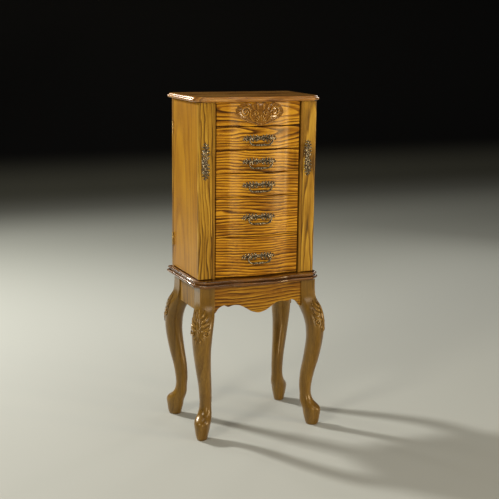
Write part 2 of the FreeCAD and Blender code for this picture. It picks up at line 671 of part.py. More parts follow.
build_moulding()
build_aprons()
for leg_name, leg_side, leg_end in (("leg_front_left", -1, -1), ("leg_front_right", 1, -1),
                                    ("leg_back_left", -1, 1), ("leg_back_right", 1, 1)):
    build_leg(leg_name, leg_side, leg_end)
build_braces()
build_case()
build_fascia()
build_tray()
build_hinges()
for door_name, door_side in SIDES.items():
    build_door(door_name, door_side)
for drawer_number, handle_height in enumerate(
        (S.handle_1, S.handle_2, S.handle_3, S.handle_4, S.handle_5), start=1):
    build_drawer(drawer_number, LINES[5 - drawer_number], LINES[6 - drawer_number], handle_height)
build_lid()
doc.recompute()

NODES = (
    "back_panel case_floor partition_left partition_right drawer_shelves fascia_panel "
    "fascia_carving top_tray ring_rolls side_top_boards hinge_leaves door_magnets "
    "base_moulding front_apron side_apron_left side_apron_right back_apron leg_front_left "
    "leg_front_right leg_back_left leg_back_right corner_blocks stand_screws lid_panel "
    "lid_mirror lid_hinge_leaves").split()
for part in "panel strip hinge_leaves pull_plate pull_bail".split():
    NODES += ["door_%s_%s" % (part, side_name) for side_name in SIDES]
for part in ("necklace_pouch", "necklace_hooks"):
    NODES += ["%s_%s" % (part, side_name) for side_name in SIDES]
for part in "front box plate bail".split():
    NODES += ["drawer_%s_%d" % (part, number) for number in range(1, 6)]

for item in doc.Objects:
    if "Invalid" in item.State or "Error" in item.State:
        raise RuntimeError("%s failed: %s" % (item.Name, item.State))
os.makedirs("parts", exist_ok=True)
for node_name in NODES:
    shape = doc.getObject(node_name).Shape
    if shape.isNull() or not shape.isValid() or not shape.Solids:
        raise RuntimeError("%s has no valid solid" % node_name)
    shape.exportStep("parts/%s.step" % node_name)
print(len(NODES), "nodes written")
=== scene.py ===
import math
import random

import bmesh
import bpy
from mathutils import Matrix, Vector

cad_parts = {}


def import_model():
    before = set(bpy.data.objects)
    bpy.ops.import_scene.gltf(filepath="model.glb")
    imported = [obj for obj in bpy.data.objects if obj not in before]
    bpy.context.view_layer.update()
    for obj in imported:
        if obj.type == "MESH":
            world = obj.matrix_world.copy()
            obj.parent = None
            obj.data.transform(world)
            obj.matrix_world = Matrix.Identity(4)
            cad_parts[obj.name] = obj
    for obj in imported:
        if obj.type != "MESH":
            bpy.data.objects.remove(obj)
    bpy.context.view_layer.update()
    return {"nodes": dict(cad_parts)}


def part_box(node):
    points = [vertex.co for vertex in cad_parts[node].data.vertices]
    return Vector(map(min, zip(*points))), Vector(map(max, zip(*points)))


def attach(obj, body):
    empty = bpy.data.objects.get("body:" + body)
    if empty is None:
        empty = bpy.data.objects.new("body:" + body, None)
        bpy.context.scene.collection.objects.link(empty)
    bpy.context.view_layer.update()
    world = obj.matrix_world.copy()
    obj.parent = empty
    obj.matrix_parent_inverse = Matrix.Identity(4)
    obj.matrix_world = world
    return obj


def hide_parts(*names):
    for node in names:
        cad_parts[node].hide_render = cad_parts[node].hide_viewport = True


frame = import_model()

NODES = frame["nodes"]
MM = 0.001
SIDES = {"left": -1, "right": 1}
SINK = 0.6  # how deep a carved stroke is let into its surface, in millimetres


# ---------------------------------------------------------------- mesh helpers

class Shape:
    """Points in metres, faces, and how far up a carved ridge each point stands, 0 to 1."""

    def __init__(self):
        self.points, self.faces, self.relief = [], [], []

    def loft(self, rings, capped=True, relief=None):
        """Add faces between closed rings of equal length, with flat ends if capped."""
        count, start = len(rings[0]), len(self.points)
        for ring in rings:
            self.points.extend(ring)
            self.relief.extend(relief or [0.8] * count)
        for level in range(len(rings) - 1):
            low, high = start + level * count, start + (level + 1) * count
            for i in range(count):
                j = (i + 1) % count
                self.faces.append((low + i, low + j, high + j, high + i))
        if capped:
            self.faces.append(tuple(reversed(range(start, start + count))))
            self.faces.append(tuple(range(len(self.points) - count, len(self.points))))
        return self


def new_piece(name, shape, material, body, smooth=True):
    """A mesh object in the row frame, finished, shaded and riding on its CAD body."""
    mesh = bpy.data.meshes.new(name)
    mesh.from_pydata([tuple(p) for p in shape.points], [], shape.faces)
    if shape.relief:
        layer = mesh.attributes.new("relief", "FLOAT", "POINT")
        layer.data.foreach_set("value", shape.relief)
    outward = bmesh.new()
    outward.from_mesh(mesh)
    bmesh.ops.recalc_face_normals(outward, faces=outward.faces[:])
    outward.to_mesh(mesh)
    outward.free()
    mesh.update()
    piece = bpy.data.objects.new(name, mesh)
    bpy.context.scene.collection.objects.link(piece)
    mesh.materials.append(material)
    mesh.polygons.foreach_set("use_smooth", [smooth] * len(mesh.polygons))
    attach(piece, body)
    return piece


def crease(piece, degrees=35):
    """Sharp edges where faces meet at more than an angle."""
    piece.data.set_sharp_from_angle(angle=math.radians(degrees))


def turns(count):
    """The angles of count even steps round a circle."""
    return [2 * math.pi * k / count for k in range(count)]


def smooth_path(points, step_count):
    """A Catmull-Rom curve through tuples of any length, sampled evenly per span."""
    padded = [points[0]] + list(points) + [points[-1]]
    samples = []
    for span in range(1, len(padded) - 2):
        a, b, c, d = padded[span - 1:span + 3]
        for step in range(step_count):
            t = step / step_count
            samples.append(tuple(
                0.5 * (2 * q + (r - p) * t + (2 * p - 5 * q + 4 * r - s) * t * t
                       + (3 * q - p - 3 * r + s) * t ** 3)
                for p, q, r, s in zip(a, b, c, d)))
    samples.append(tuple(points[-1]))
    return samples


def stroke(parts, surface, route, step_count=7, vein=0.0):
    """A carved stroke that follows a surface: a tapering domed ridge.

    route holds (u, v, half width, height) in millimetres; surface(u, v) gives the point in
    millimetres. vein presses a groove into the ridge's middle, as in a leaf."""
    samples = smooth_path(route, step_count)
    relief = [math.sin(math.pi * k / 8) ** 0.8 for k in range(9)] + [0.0, 0.0]
    rings = []
    for i, (u, v, half, height) in enumerate(samples):
        before, after = samples[max(i - 1, 0)], samples[min(i + 1, len(samples) - 1)]
        centre = surface(u, v)
        normal = (surface(u + 0.5, v) - centre).cross(surface(u, v + 0.5) - centre).normalized()
        tangent = (surface(after[0], after[1]) - surface(before[0], before[1]))
        tangent = (tangent - normal * tangent.dot(normal)).normalized()
        side = normal.cross(tangent)
        half, height = max(half, 0.12), max(height, 0.05)
        ring = []
        for k in range(9):
            turn = math.pi * k / 8
            rise = math.sin(turn) ** 0.8 * height
            rise -= vein * height * math.exp(-(math.cos(turn) / 0.28) ** 2)
            ring.append((centre + side * (math.cos(turn) * half) + normal * rise) * MM)
        ring.append((centre - side * (half * 0.8) - normal * SINK) * MM)
        ring.append((centre + side * (half * 0.8) - normal * SINK) * MM)
        rings.append(ring)
    parts.loft(rings, relief=relief)


def spiral(u, v, radius, start, turns, width, height, mirror=1, steps=10):
    """A route that winds in to a volute's eye. start and turns are in full turns."""
    route = []
    for i in range(steps + 1):
        t = i / steps
        reach = radius * (1 - 0.82 * t)
        angle = 2 * math.pi * (start + turns * t)
        route.append((mirror * (u + reach * math.cos(angle)), v + reach * math.sin(angle),
                      width * (1 - 0.45 * t), height * (1 - 0.15 * t)))
    return route


def boss(parts, surface, u, v, radius, height, petals=0, sides=24, rings=6):
    """A raised button on a surface, lobed if it has petals."""
    centre = surface(u, v)
    across = (surface(u + 0.5, v) - centre).normalized()
    along = (surface(u, v + 0.5) - centre).normalized()
    normal = across.cross(along).normalized()
    loops = []
    for level in range(rings):
        t = level / (rings - 1)
        reach = radius * math.cos(t * math.pi / 2 * 0.96)
        rise = height * math.sin(t * math.pi / 2)
        loop = []
        for turn in turns(sides):
            lobe = 1 + (0.16 * math.cos(petals * turn) * (1 - t) if petals else 0)
            loop.append((centre + (across * math.cos(turn) + along * math.sin(turn))
                         * (reach * lobe) + normal * rise) * MM)
        loops.append(loop)
    base = [p - normal * (SINK * MM) for p in loops[0]]
    parts.loft([base] + loops)


# ---------------------------------------------------------------- materials

def node(tree, kind, **settings):
    """A new shader node with some of its properties set."""
    made = tree.nodes.new(kind)
    for key, value in settings.items():
        setattr(made, key, value)
    return made


def link(tree, a, out, b, into):
    """Join output out of node a to input into of node b."""
    tree.links.new(a.outputs[out], b.inputs[into])


def maths(tree, operation, a, b=None):
    """A math node fed by numbers, by sockets, or by nodes' first outputs."""
    made = node(tree, "ShaderNodeMath", operation=operation)
    for slot_number, value in enumerate((a, b)):
        if isinstance(value, (int, float)):
            made.inputs[slot_number].default_value = value
        elif isinstance(value, bpy.types.NodeSocket):
            tree.links.new(value, made.inputs[slot_number])
        elif value is not None:
            link(tree, value, 0, made, slot_number)
    return made


def ramp(tree, source, stops, interpolation="LINEAR"):
    """A colour ramp over the first output of source; stops are (place, colour)."""
    made = node(tree, "ShaderNodeValToRGB")
    made.color_ramp.interpolation = interpolation
    while len(made.color_ramp.elements) < len(stops):
        made.color_ramp.elements.new(0.5)
    for element, (place, colour) in zip(made.color_ramp.elements, stops):
        element.position = place
        element.color = (*colour, 1)
    link(tree, source, 0, made, 0)
    return made


def mix(tree, factor, a, b):
    """A colour mix; a, b and factor may be nodes or values."""
    made = node(tree, "ShaderNodeMix", data_type="RGBA")
    for index, value in ((0, factor), (6, a), (7, b)):
        if isinstance(value, bpy.types.Node):
            link(tree, value, 2 if value.bl_idname == "ShaderNodeMix" else 0, made, index)
        else:
            made.inputs[index].default_value = value if index == 0 else (*value, 1)
    return made


def noise(tree, vector, scale, detail=2.0, roughness=0.5):
    """Noise over a vector; its first output is the value."""
    made = node(tree, "ShaderNodeTexNoise")
    made.inputs["Scale"].default_value = scale
    made.inputs["Detail"].default_value = detail
    made.inputs["Roughness"].default_value = roughness
    link(tree, vector, 0, made, "Vector")
    return made


def stretched(tree, vector, scale, place=(0, 0, 0)):
    """A vector scaled by scale, then moved by place."""
    made = node(tree, "ShaderNodeMapping", vector_type="POINT")
    made.inputs["Scale"].default_value = scale
    made.inputs["Location"].default_value = place
    link(tree, vector, 0, made, 0)
    return made


def shader(name):
    """A new material, its node tree and its Principled BSDF."""
    material = bpy.data.materials.new(name)
    material.use_nodes = True
    tree = material.node_tree
    return material, tree, tree.nodes["Principled BSDF"]


def object_space(tree):
    """The object's own coordinates, in metres."""
    place, source = node(tree, "ShaderNodeTexCoord"), node(tree, "ShaderNodeMapping")
    link(tree, place, "Object", source, 0)
    return source


def bumped(tree, bsdf, height, strength, distance):
    """Bump from a node's first output; distance is in metres."""
    bump = node(tree, "ShaderNodeBump")
    bump.inputs["Strength"].default_value = strength
    bump.inputs["Distance"].default_value = distance
    link(tree, height, 0, bump, "Height")
    link(tree, bump, 0, bsdf, "Normal")


# The grain axis comes first, then the axis across the board's face, then its depth.
GRAINS = {"x": (0, 2, 1), "z": (2, 0, 1), "side": (2, 1, 0), "y": (1, 0, 2), "top": (0, 1, 2)}


def oak(name, grain, tones, ring=0.0085, heart=(0.0, 0.0), depth=0.03, lean=0.10, waviness=1.0,
        contrast=1.0, rough=0.36, coat=0.2, seed=0.0, carved=False):
    """Lacquered flat-sawn oak.

    Growth rings are cones about a log axis that runs along the grain and leans out of the
    board, so they draw long cathedral figures. heart is where the axis passes, along and
    across the face; tones are the dark, middle and light colours of the figure."""
    material, tree, bsdf = shader(name)
    dark, middle, light = tones
    place = node(tree, "ShaderNodeTexCoord")
    split = node(tree, "ShaderNodeSeparateXYZ")
    link(tree, place, "Object", split, 0)
    board = node(tree, "ShaderNodeCombineXYZ")
    for k, axis in enumerate(GRAINS[grain]):
        link(tree, split, axis, board, k)
    shifted = stretched(tree, board, (1, 1, 1), (seed, seed * 0.7, seed * 1.3))

    wander = noise(tree, stretched(tree, shifted, (2.2, 9, 9)), 1.0, 3, 0.55)
    flutter = noise(tree, stretched(tree, shifted, (9, 60, 60)), 1.0, 2, 0.5)
    parts = node(tree, "ShaderNodeSeparateXYZ")
    link(tree, board, 0, parts, 0)

    along = maths(tree, "SUBTRACT", parts.outputs[0], heart[0])
    across = maths(tree, "SUBTRACT", parts.outputs[1], heart[1])
    across = maths(tree, "ADD", across, maths(tree, "MULTIPLY", maths(
        tree, "SUBTRACT", wander, 0.5), 0.055 * waviness))
    across = maths(tree, "ADD", across, maths(tree, "MULTIPLY", maths(
        tree, "SUBTRACT", flutter, 0.5), 0.0065 * waviness))
    rise = maths(tree, "ADD", maths(tree, "MULTIPLY", along, lean), depth)
    reach = maths(tree, "SQRT", maths(tree, "ADD", maths(tree, "MULTIPLY", across, across),
                                      maths(tree, "MULTIPLY", rise, rise)))
    rings = maths(tree, "FRACT", maths(tree, "DIVIDE", reach, ring))
    # each ring starts with a dark porous line and pales slowly
    figure = ramp(tree, rings, [(0.0, (0.12,) * 3), (0.10, (0.0,) * 3), (0.30, (0.45,) * 3),
                                (0.62, (0.85,) * 3), (0.90, (1.0,) * 3), (1.0, (0.25,) * 3)])
    patch = noise(tree, stretched(tree, shifted, (5, 16, 16)), 1.0, 2, 0.5)
    streak = noise(tree, stretched(tree, shifted, (14, 420, 420)), 1.0, 3, 0.6)
    pores = noise(tree, stretched(tree, shifted, (75, 1500, 1500)), 1.0, 1, 0.5)
    pore_mask = ramp(tree, pores, [(0.34, (1,) * 3), (0.43, (0,) * 3)])

    # the rings fade in and out along the grain
    fade = noise(tree, stretched(tree, shifted, (11, 70, 70), (4.1, 2.3, 0.7)), 1.0, 2, 0.5)
    reachable = maths(tree, "MULTIPLY", maths(tree, "SUBTRACT", fade, 0.22), 2.6 * contrast)
    strength = maths(tree, "MULTIPLY", maths(tree, "SUBTRACT", figure, 0.55), reachable)
    tone = maths(tree, "ADD", strength, 0.50)
    tone = maths(tree, "ADD", tone, maths(tree, "MULTIPLY", maths(
        tree, "SUBTRACT", patch, 0.5), 0.85))
    tone = maths(tree, "ADD", tone, maths(tree, "MULTIPLY", maths(
        tree, "SUBTRACT", streak, 0.5), 0.80))
    colour = ramp(tree, tone, [(0.12, dark), (0.50, middle), (0.86, light)])
    if carved:
        # painted shade: the colour darkens towards the dark tone at the foot of each carved ridge,
        # where shade falls
        relief = node(tree, "ShaderNodeAttribute", attribute_name="relief")
        foot = maths(tree, "ADD", relief.outputs["Fac"], 0.0)
        painted_shade = ramp(tree, foot, [(0.10, (0.95,) * 3), (0.45, (0.45,) * 3), (0.75, (0,) * 3)])
        colour = mix(tree, painted_shade, colour, dark)
    porous = maths(tree, "MULTIPLY", pore_mask, maths(tree, "SUBTRACT", 1.0, figure))
    colour = mix(tree, maths(tree, "MULTIPLY", porous, 0.65), colour,
                 tuple(c * 0.35 for c in dark))
    link(tree, colour, 2, bsdf, "Base Color")

    height = maths(tree, "SUBTRACT", maths(tree, "MULTIPLY", figure, 0.35),
                   maths(tree, "MULTIPLY", porous, 1.0))
    bumped(tree, bsdf, height, 0.16, 0.0004)
    gloss = maths(tree, "ADD", maths(tree, "MULTIPLY", streak, 0.16), rough - 0.08)
    link(tree, gloss, 0, bsdf, "Roughness")
    bsdf.inputs["Specular IOR Level"].default_value = 0.45
    bsdf.inputs["Specular Tint"].default_value = (1.0, 0.70, 0.28, 1)
    bsdf.inputs["Coat Weight"].default_value = coat
    bsdf.inputs["Coat Roughness"].default_value = 0.65 * rough
    return material


def bronze():
    """Antiqued brass: dark in the hollows, rubbed bright on the high points."""
    material, tree, bsdf = shader("antique_bronze")
    geometry = node(tree, "ShaderNodeNewGeometry")
    source = object_space(tree)
    mottle = noise(tree, source, 330, 4, 0.6)
    rubbed = maths(tree, "MULTIPLY", mottle, 0.35)
    worn = maths(tree, "ADD", rubbed, maths(tree, "MULTIPLY", maths(
        tree, "SUBTRACT", geometry.outputs["Pointiness"], 0.5), 4.0))
    colour = ramp(tree, worn, [(0.10, (0.018, 0.013, 0.009)), (0.26, (0.085, 0.060, 0.034)),
                               (0.46, (0.62, 0.52, 0.34))])
    link(tree, colour, 0, bsdf, "Base Color")
    bsdf.inputs["Metallic"].default_value = 0.9
    gloss = maths(tree, "ADD", maths(tree, "MULTIPLY", mottle, 0.22), 0.14)
    link(tree, gloss, 0, bsdf, "Roughness")
    bumped(tree, bsdf, mottle, 0.25, 0.0004)
    return material


def metal(name, colour, rough):
    """Plain metal with faint handling marks."""
    material, tree, bsdf = shader(name)
    source = object_space(tree)
    marks = noise(tree, source, 420, 4, 0.65)
    tint = ramp(tree, marks, [(0.3, tuple(c * 0.78 for c in colour)), (0.7, colour)])
    link(tree, tint, 0, bsdf, "Base Color")
    bsdf.inputs["Metallic"].default_value = 1.0
    gloss = maths(tree, "ADD", maths(tree, "MULTIPLY", marks, 0.2), rough - 0.1)
    link(tree, gloss, 0, bsdf, "Roughness")
    return material


def velvet(name, colour):
    """Short-pile velvet: a bright rim from its sheen and a fine nap."""
    material, tree, bsdf = shader(name)
    source = object_space(tree)
    nap = noise(tree, source, 1900, 2, 0.6)
    crush = noise(tree, source, 38, 3, 0.55)
    blend = maths(tree, "ADD", maths(tree, "MULTIPLY", nap, 0.45),
                  maths(tree, "MULTIPLY", crush, 0.55))
    tint = ramp(tree, blend, [(0.30, tuple(c * 0.55 for c in colour)), (0.52, colour),
                              (0.72, tuple(min(1, c * 1.5) for c in colour))])
    link(tree, tint, 0, bsdf, "Base Color")
    bsdf.inputs["Roughness"].default_value = 0.95
    bsdf.inputs["Sheen Weight"].default_value = 0.6
    bsdf.inputs["Sheen Roughness"].default_value = 0.35
    bumped(tree, bsdf, nap, 0.35, 0.0005)
    return material


def mirror():
    """Silvered glass with a faint haze."""
    material, tree, bsdf = shader("mirror_glass")
    source = object_space(tree)
    haze = noise(tree, source, 30, 3, 0.5)
    tint = ramp(tree, haze, [(0.3, (0.80, 0.83, 0.83)), (0.7, (0.88, 0.90, 0.90))])
    link(tree, tint, 0, bsdf, "Base Color")
    gloss = maths(tree, "ADD", maths(tree, "MULTIPLY", haze, 0.03), 0.005)
    link(tree, gloss, 0, bsdf, "Roughness")
    bsdf.inputs["Metallic"].default_value = 1.0
    return material


# Tones of the woods: dark, middle and light, as linear colours.
HONEY = ((0.060, 0.015, 0.002), (0.375, 0.139, 0.006), (0.760, 0.370, 0.024))
GOLD = ((0.290, 0.114, 0.005), (0.410, 0.182, 0.008), (0.530, 0.260, 0.014))
STRAW = ((0.110, 0.046, 0.006), (0.410, 0.203, 0.017), (0.620, 0.350, 0.040))
SKIRT = ((0.110, 0.048, 0.004), (0.230, 0.108, 0.009), (0.330, 0.170, 0.017))
UMBER = ((0.026, 0.008, 0.002), (0.120, 0.042, 0.006), (0.300, 0.125, 0.020))
AMBER = ((0.100, 0.046, 0.005), (0.195, 0.098, 0.010), (0.310, 0.170, 0.022))
TAWNY = ((0.120, 0.048, 0.004), (0.270, 0.122, 0.010), (0.390, 0.200, 0.020))
RUSSET = ((0.080, 0.022, 0.002), (0.310, 0.122, 0.008), (0.560, 0.285, 0.024))
PALE = ((0.330, 0.190, 0.080), (0.500, 0.320, 0.150), (0.620, 0.430, 0.230))

CASE_OAK = oak("case_oak", "z", TAWNY, ring=0.013, heart=(0.7, 0.05), lean=0.05, contrast=0.55)
SIDE_OAK = oak("side_oak", "side", GOLD, ring=0.016, heart=(0.55, 0.06), depth=0.09, lean=0.06,
               contrast=0.4, coat=0.06)
SKIRT_OAK = oak("skirt_oak", "side", SKIRT, ring=0.014, heart=(0.55, 0.06), depth=0.09,
                lean=0.06, contrast=0.5, coat=0.06)
LEG_OAK = oak("leg_oak", "z", AMBER, ring=0.020, heart=(0.2, 0.0), depth=0.07, contrast=0.18,
              rough=0.34, coat=0.7)
MOULDING_OAK = oak("moulding_oak", "x", UMBER, ring=0.012, depth=0.05, contrast=0.5, rough=0.25,
                   coat=1.0)
DRAWER_OAK = oak("drawer_oak", "y", PALE, ring=0.009, contrast=0.35, rough=0.5, coat=0.05)
RAW_OAK = oak("raw_oak", "x", PALE, ring=0.010, contrast=0.4, rough=0.6, coat=0.0, seed=3.1)
BRONZE = bronze()
BRASS = metal("hinge_brass", (0.68, 0.50, 0.22), 0.26)
STEEL = metal("zinc_steel", (0.55, 0.56, 0.57), 0.34)
VELVET = velvet("green_velvet", (0.030, 0.085, 0.050))
MIRROR = mirror()


def finish_node(name, material, round_by=0.0):
    """Give a CAD node its material, and ease its edges with a small bevel."""
    item = NODES[name]
    item.data.materials.clear()
    item.data.materials.append(material)
    if round_by:
        bevel = item.modifiers.new("eased_edges", "BEVEL")
        bevel.width = round_by * MM
        bevel.segments = 2
        bevel.limit_method = "ANGLE"
        bevel.angle_limit = math.radians(40)
        bevel.harden_normals = False


# ---------------------------------------------------------------- camera, light and floor

def build_stage():
    """A pale floor that sweeps up to a backdrop painted darker with distance and height as painted
    light fall-off, soft lights, and a long lens.
    """
    scene = bpy.context.scene
    scene.view_settings.view_transform = "Standard"
    profile = [(-14.0, 0.0), (-4.0, 0.0), (0.0, 0.0), (3.0, 0.0)]
    profile += [(4.0 + 1.6 * math.sin(math.radians(a)), 1.6 - 1.6 * math.cos(math.radians(a)))
                for a in range(0, 91, 10)]
    profile += [(5.6, 9.0)]
    points = [(x, y, z) for y, z in profile for x in (-14, 14)]
    sweep = bpy.data.meshes.new("studio_sweep")
    sweep.from_pydata(points, [], [(2 * i, 2 * i + 1, 2 * i + 3, 2 * i + 2)
                                   for i in range(len(profile) - 1)])
    sweep.polygons.foreach_set("use_smooth", [True] * len(sweep.polygons))
    floor = bpy.data.objects.new("studio_sweep", sweep)
    scene.collection.objects.link(floor)
    material, tree, bsdf = shader("studio_paper_painted_falloff")
    place = node(tree, "ShaderNodeTexCoord")
    split = node(tree, "ShaderNodeSeparateXYZ")
    link(tree, place, "Object", split, 0)
    # painted shade: the paper darkens with distance and height, standing in for light fall-off
    rise = maths(tree, "MULTIPLY", split.outputs[2], 4.0)
    far = maths(tree, "MULTIPLY", maths(tree, "ADD", split.outputs[1], rise), 0.1)
    paper = ramp(tree, far, [(0.08, (0.53, 0.54, 0.49)), (0.30, (0.42, 0.43, 0.38)),
                             (0.47, (0.09, 0.09, 0.07)), (0.60, (0.003, 0.003, 0.003))],
                 "EASE")
    link(tree, paper, 0, bsdf, "Base Color")
    bsdf.inputs["Roughness"].default_value = 0.75
    bsdf.inputs["Specular IOR Level"].default_value = 0.2
    sweep.materials.append(material)

    world = bpy.data.worlds.new("studio")
    scene.world = world
    world.use_nodes = True
    world.node_tree.nodes["Background"].inputs[0].default_value = (1.0, 0.97, 0.90, 1)
    world.node_tree.nodes["Background"].inputs[1].default_value = 0.12

    def softbox(name, place, target, size, power, colour):
        light = bpy.data.lights.new(name, "AREA")
        light.shape = "RECTANGLE"
        light.size, light.size_y = size
        light.energy = power
        light.color = colour
        lamp = bpy.data.objects.new(name, light)
        scene.collection.objects.link(lamp)
        lamp.location = place
        lamp.rotation_euler = (Vector(target) - Vector(place)).to_track_quat("-Z", "Y").to_euler()

    middle = (0, 0, 0.6)
    gold, warm, white = (1, 0.82, 0.55), (1, 0.93, 0.82), (1, 0.98, 0.94)
    softbox("key_left_back", (-1.9, 2.4, 2.3), middle, (0.32, 0.32), 112, white)
    softbox("key_left_front", (-2.6, -1.6, 2.0), middle, (0.7, 0.7), 31, warm)
    softbox("front_strip", (-0.27, -3.6, 0.35), (0, 0, 0.7), (0.22, 1.2), 23, gold)
    softbox("right_card", (2.5, -2.4, 0.6), (0, 0, 0.6), (0.5, 1.0), 33, gold)
    softbox("front_high", (1.3, -2.7, 2.3), middle, (0.9, 0.9), 10, warm)
    softbox("back_left_strip", (-1.3, 2.9, 1.6), middle, (0.4, 0.6), 10, white)
    softbox("top_fill", (0.0, -0.3, 3.6), (0, 0, 0), (1.6, 1.6), 17, white)
    softbox("right_rim", (2.3, 1.9, 1.4), middle, (0.30, 1.2), 6, white)

    camera_data = bpy.data.cameras.new("camera")
    camera = bpy.data.objects.new("camera", camera_data)
    scene.collection.objects.link(camera)
    turn, pitch, roll = (math.radians(a) for a in (-23.42, 11.62, 0.74))
    ahead = Vector((-math.sin(turn) * math.cos(pitch), math.cos(turn) * math.cos(pitch),
                    -math.sin(pitch)))
    camera.location = (-1.265, -2.973, 1.205)
    camera.rotation_euler = ahead.to_track_quat("-Z", "Y").to_euler()
    camera.rotation_euler.rotate_axis("Z", roll)
    camera_data.sensor_width = 36
    camera_data.lens = 78.95
    camera_data.shift_x = -0.0037
    camera_data.shift_y = -0.0035
    scene.camera = camera


# ---------------------------------------------------------------- shapes from the drawing

FLAT, BEND = 104, 82  # where the bowed fronts go flat, and where their curve turns
GROUND_RELIEF = 0.34  # sets the painted shade on the ground of a carving, from darkest at 0 to none at 1
FRONT_BOW = (-93, 13)  # y of the drawer fronts' flat edges, and how far their crown stands out


def bowed(x, front, bow):
    """y of a bowed front at x, in millimetres: flat, hollow, then a crown in the middle."""
    slope = bow / FLAT
    sine = 2 * slope / (1 + slope * slope)
    reach = abs(x)
    if reach >= FLAT:
        return front
    if reach > BEND:
        hollow = (FLAT - BEND) / sine
        return front - hollow + math.sqrt(hollow ** 2 - (FLAT - reach) ** 2)
    crown = BEND / sine
    return front - bow + crown - math.sqrt(crown ** 2 - reach ** 2)


def board_outline(half, back, front, bow, clip, inset):
    """A board's plan with a bowed front and clipped front corners, moved in by inset."""
    half, back, clip = half - inset, back - inset, clip - 0.586 * inset
    side = front + inset + clip
    share = 0.41 * clip
    points = [(-half, back), (-half, (back + side) / 2), (-half, side),
              (share - half, side - share)]
    steps = 72
    for i in range(steps + 1):
        x = (half - clip) * (2 * i / steps - 1)
        points.append((x, bowed(x, front, bow) + inset))
    points += [(half - share, side - share), (half, side), (half, (back + side) / 2),
               (half, back), (0.0, back)]
    return points


def build_moulding():
    """The top of the stand: two full beads with a quirk between them."""
    def bead(inset, depth, middle, rise):
        arc = [math.radians(-80 + 20 * i) for i in range(9)]
        return [(inset + depth - depth * math.cos(turn), middle + rise * math.sin(turn))
                for turn in arc]

    profile = [(12, 453)] + bead(0, 5.2, 458.6, 5.4)
    profile += [(5.8, 464.3), (6.9, 465.0), (6.9, 465.4)]
    profile += bead(2.6, 4.2, 469.7, 4.3) + [(9, 474)]
    rings = [[Vector((x, y, z)) * MM for x, y in board_outline(
        199.5, 136.5, -123, 10, 27, inset)] for inset, z in profile]
    piece = new_piece("stand_moulding", Shape().loft(rings), MOULDING_OAK, "case")
    crease(piece, 32)
    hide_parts("base_moulding")


def build_lid():
    """The lid: an ogee edge above, and a recess for the mirror below."""
    back, front, half = 102, -72, 150
    middle = (back + front) / 2

    def recess(point):
        dx, dy = point[0], point[1] - middle
        share = min(half / max(abs(dx), 1e-6), (back - middle) / max(abs(dy), 1e-6))
        return dx * share, middle + dy * share

    def outline(inset):
        return board_outline(198.5, 130.6, -110, 7, 28, inset)

    well = [recess(p) for p in outline(0)]
    rings = [[Vector((x, y, z)) * MM for x, y in well] for z in (988.3, 985.0)]
    profile = [(7.5, 985), (4.2, 985.4), (1.8, 986.6), (0.5, 988.4), (0, 990.4), (0.3, 992.2),
               (1.2, 993.7), (2.6, 994.8), (4.0, 995.3), (4.4, 995.9), (4.5, 996.7), (5.4, 998.2),
               (7.2, 999.3), (9.6, 999.9), (12, 1000)]
    rings += [[Vector((x, y, z)) * MM for x, y in outline(inset)] for inset, z in profile]
    piece = new_piece("lid_board", Shape().loft(rings), LID_OAK, "lid")
    crease(piece, 32)
    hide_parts("lid_panel")


def build_apron():
    """The front apron: bowed, with a cyma-cut lower edge."""
    half_edge = [(0, 368), (14, 370.5), (26, 375), (44, 386), (60, 394), (78, 395.5), (95, 391.5),
                 (108, 396.5), (124, 390), (133, 379), (138.5, 373)]
    edge = [(-x, z) for x, z in reversed(half_edge[1:])] + half_edge
    rings = []
    for x, z in smooth_path(edge, 8):
        front = bowed(x, -108, 8)
        rings.append([Vector((x, y, h)) * MM for y, h in (
            (front, 453), (-94, 453), (-94, z + 0.8), (-94.8, z), (front + 1.2, z),
            (front + 0.4, z + 0.4), (front, z + 1.2))])
    piece = new_piece("apron_front", Shape().loft(rings), APRON_OAK, "case")
    crease(piece, 40)
    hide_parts("front_apron")


# Each section of a leg: height, how far its middle stands outside the knee point in x and
# in y, half its size along and across the outward diagonal, and its squareness (1 is a
# square set to the case, 2 an ellipse).
LEG_ROWS = [
    (453, 0, -14, 32.2, 32.2, 1.03), (425, 0, -14, 32.4, 32.2, 1.03),
    (405, 0.8, -11.5, 33.0, 32.4, 1.07), (388, 3.5, -6.0, 33.6, 32.8, 1.2),
    (368, 9.5, 4.0, 33.8, 33.6, 1.5), (345, 15.5, 13.5, 30.6, 32.6, 1.75),
    (322, 19.3, 18.6, 28.6, 31.4, 1.85), (305, 20.5, 20.5, 27.5, 30, 1.9),
    (270, 20, 20, 25.6, 26.5, 2), (210, 13, 13, 24, 22, 2),
    (162, 5.3, 5.3, 21.5, 19.3, 2), (121, 1.8, 1.8, 18.8, 18.2, 2),
    (94, 2.5, 2.5, 17.6, 18.2, 2), (73, 6, 6, 21.5, 21, 2), (58, 13.8, 13.8, 28, 24, 1.95),
    (48, 17, 17, 28.5, 24, 1.9), (28, 17.7, 17.7, 25.5, 21, 1.9), (10, 18.4, 18.4, 21.5, 17, 2),
    (2, 18.4, 18.4, 18.5, 15, 2), (0, 18.4, 18.4, 17, 13.5, 2),
]


KNEE = (161.5, 102)  # the knee point, out from the middle of the case in x and in y
KNEE_RADIUS, LEAF_LIFT = 24, 19  # what wraps the leaf round the knee, and sets its height
POST_FOOT, POST_CORNER = 372, (138.6, 65.1)  # the square post stays outside the aprons


